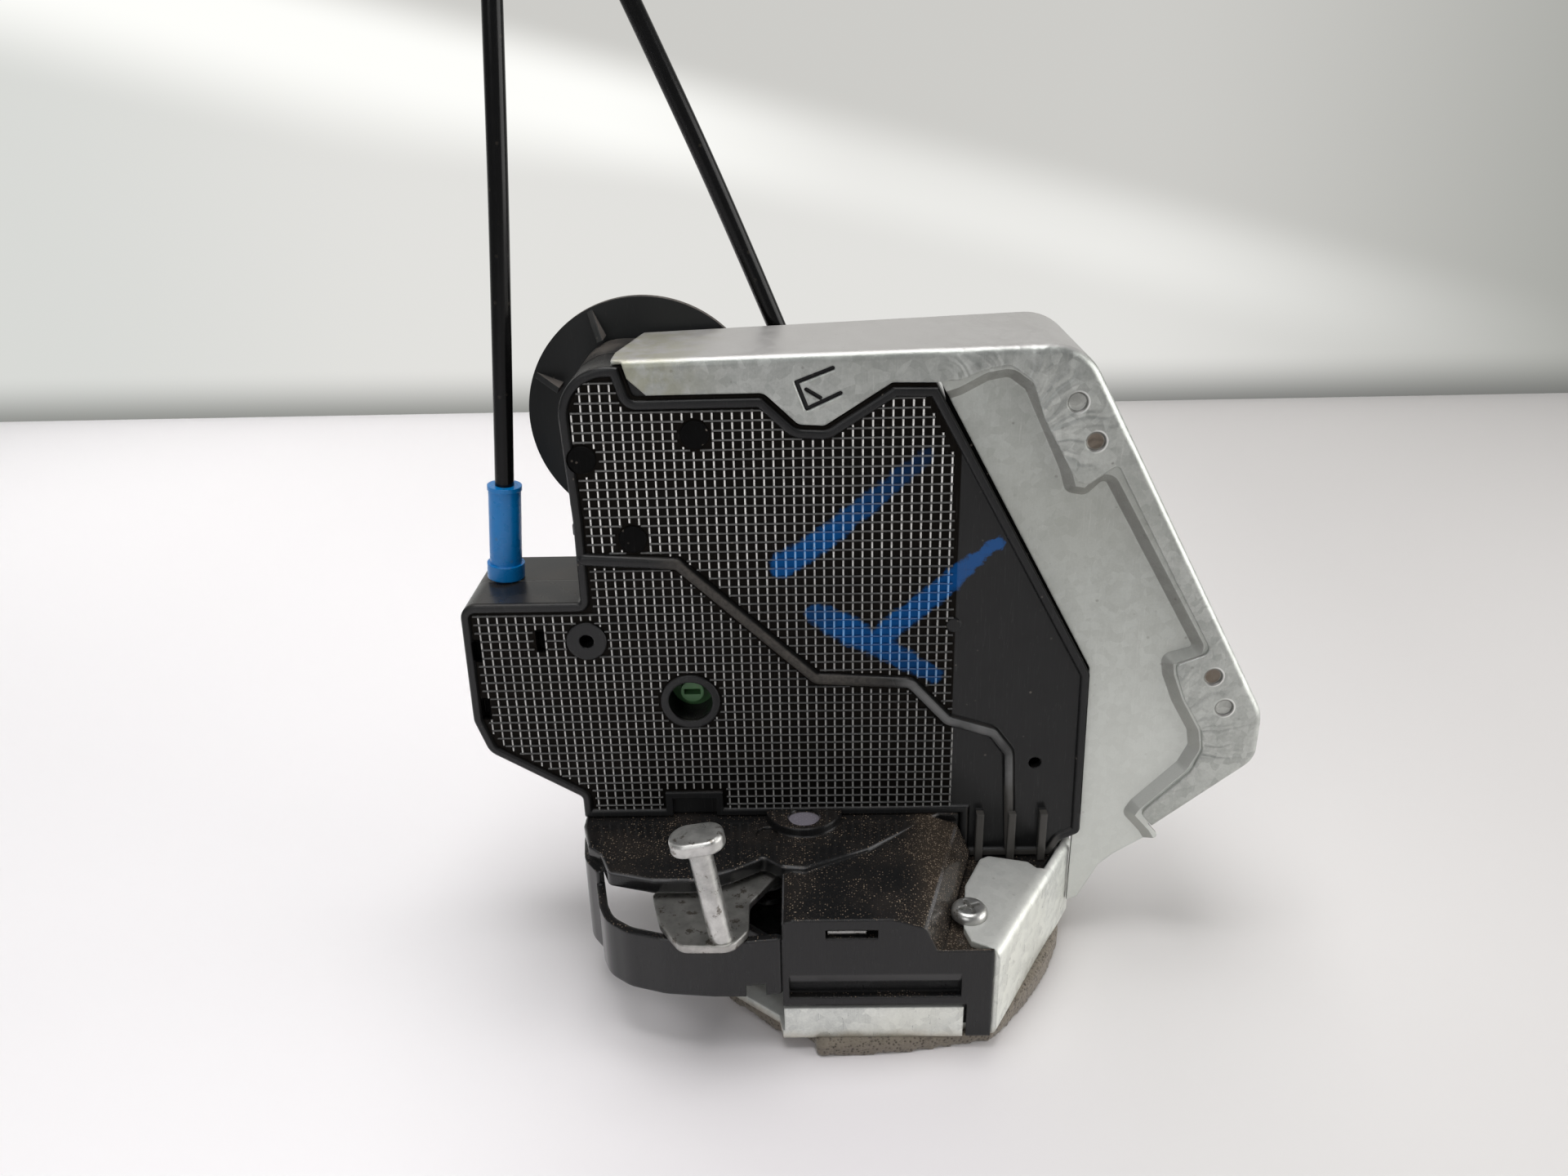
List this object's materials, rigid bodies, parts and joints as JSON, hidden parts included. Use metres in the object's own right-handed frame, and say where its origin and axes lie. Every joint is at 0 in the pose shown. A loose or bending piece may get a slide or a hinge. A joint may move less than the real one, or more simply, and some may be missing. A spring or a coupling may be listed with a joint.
{
  "type": "car door latch",
  "caption": "Car door lock: rotary fork latch with lock actuator in a ribbed case, a steel protector, a lever with a T-pin, and two cables.",
  "frame": {"origin": "middle of the bounding box without the cables, at the underside of the foam pad (the face that meets the door)", "axes": "+Z away from the door's end face, towards the case; +X along the base towards the protector; +Y from the ribbed face to the side with the connector"},
  "size_m": [0.2087, 0.0968, 0.3091],
  "materials": {
    "foam": "open-cell foam, dusty",
    "galvanised": "galvanised sheet",
    "steel": "zinc plated",
    "bright_steel": "bright plated",
    "black_plastic": "moulded, fine grain",
    "dusty_plastic": "moulded, dusty",
    "blue_plastic": "moulded",
    "green_plastic": "moulded",
    "white_plastic": "acetal",
    "rubber_black": "soft",
    "sheath": "extruded",
    "brass": "tinned"
  },
  "bodies": {
    "latch": {"foam_pad": "foam", "base_plate": "galvanised", "back_plate": "steel", "fork_pin": "steel", "fork_spring": "steel", "pawl_pin": "steel", "slot_bumper": "rubber_black", "latch_body": "dusty_plastic", "tab_screw": "bright_steel", "lever_rivet": "steel", "lever_spring": "steel", "front_housing": "black_plastic", "rear_housing": "black_plastic", "protector_shell": "galvanised", "protector_panel": "galvanised", "motor_can": "steel", "wheel_shaft": "steel", "inside_lever_pin": "steel", "circuit_carrier": "black_plastic", "flange_disc": "black_plastic", "connector_terminals": "brass", "disc_seal": "foam", "left_ferrule": "blue_plastic", "right_ferrule": "black_plastic", "blanking_plug_1": "black_plastic", "blanking_plug_2": "black_plastic", "blanking_plug_3": "black_plastic", "case_screw_1": "steel", "case_screw_2": "steel", "case_screw_3": "steel", "case_screw_4": "steel", "micro_switch_1": "black_plastic", "micro_switch_2": "black_plastic", "left_sheath": "sheath", "right_sheath": "sheath", "left_far_ferrule": "black_plastic", "right_far_ferrule": "black_plastic", "left_far_wire": "steel", "right_far_wire": "steel"},
    "fork": {"fork": "steel"},
    "pawl": {"pawl": "steel", "release_lever": "bright_steel"},
    "outside_lever": {"outside_lever": "bright_steel", "lever_t_pin": "bright_steel"},
    "worm": {"worm": "brass"},
    "wheel": {"worm_wheel": "white_plastic"},
    "lock": {"lock_lever": "white_plastic", "outer_lock_arm": "steel"},
    "inside": {"inside_lever": "steel"},
    "key": {"key_rotor": "green_plastic"},
    "left_pull": {"left_wire": "steel"},
    "right_pull": {"right_wire": "steel"}
  },
  "joints": [
    {"name": "fork_hinge", "type": "hinge", "parent": "latch", "child": "fork", "pos_m": [-0.008, -0.002, 0.0094], "axis": [0, 0, 1], "range_deg": [-55, 0]},
    {"name": "outside_lever_hinge", "type": "hinge", "parent": "latch", "child": "outside_lever", "pos_m": [-0.027, -0.008, 0.0369], "axis": [0, 0, 1], "range_deg": [-25, 0], "stiffness_Nm_per_rad": 0.08, "springref_deg": 8.59},
    {"name": "pawl_hinge", "type": "hinge", "parent": "latch", "child": "pawl", "pos_m": [0.026, -0.024, 0.0094], "axis": [0, 0, 1], "range_deg": [0, 8]},
    {"name": "inside_lever_hinge", "type": "hinge", "parent": "latch", "child": "inside", "pos_m": [-0.072, 0.018, 0.0885], "axis": [0, 1, 0], "range_deg": [0, 28.7], "stiffness_Nm_per_rad": 0.03, "springref_deg": -11.46},
    {"name": "left_wire_slide", "type": "slide", "parent": "latch", "child": "left_pull", "axis": [0.0952, 0, 0.9955], "range_m": [0, 0.013]},
    {"name": "worm_wheel_hinge", "type": "hinge", "parent": "latch", "child": "wheel", "pos_m": [-0.025, 0.0175, 0.1275], "axis": [0, 1, 0], "range_deg": [-160, 0]},
    {"name": "worm_hinge", "type": "hinge", "parent": "latch", "child": "worm", "pos_m": [-0.025, 0.0175, 0.151], "axis": [1, 0, 0], "range_deg": [0, 6400]},
    {"name": "lock_lever_hinge", "type": "hinge", "parent": "latch", "child": "lock", "pos_m": [0.005, 0.0175, 0.1275], "axis": [0, 1, 0], "range_deg": [0, 40]},
    {"name": "right_wire_slide", "type": "slide", "parent": "latch", "child": "right_pull", "axis": [-0.3668, 0, 0.9303], "range_m": [0, 0.007]},
    {"name": "key_rotor_hinge", "type": "hinge", "parent": "latch", "child": "key", "pos_m": [-0.0463, 0.0175, 0.0795], "axis": [0, 1, 0], "range_deg": [-45, 45]}
  ],
  "couplings": [
    {"joint": "pawl_hinge", "follows": "outside_lever_hinge", "ratio": -0.32},
    {"joint": "left_wire_slide", "follows": "inside_lever_hinge", "m_per_rad": 0.02563},
    {"joint": "worm_hinge", "follows": "worm_wheel_hinge", "ratio": -40},
    {"joint": "lock_lever_hinge", "follows": "worm_wheel_hinge", "ratio": -0.25},
    {"joint": "right_wire_slide", "follows": "worm_wheel_hinge", "m_per_rad": -0.002458}
  ]
}
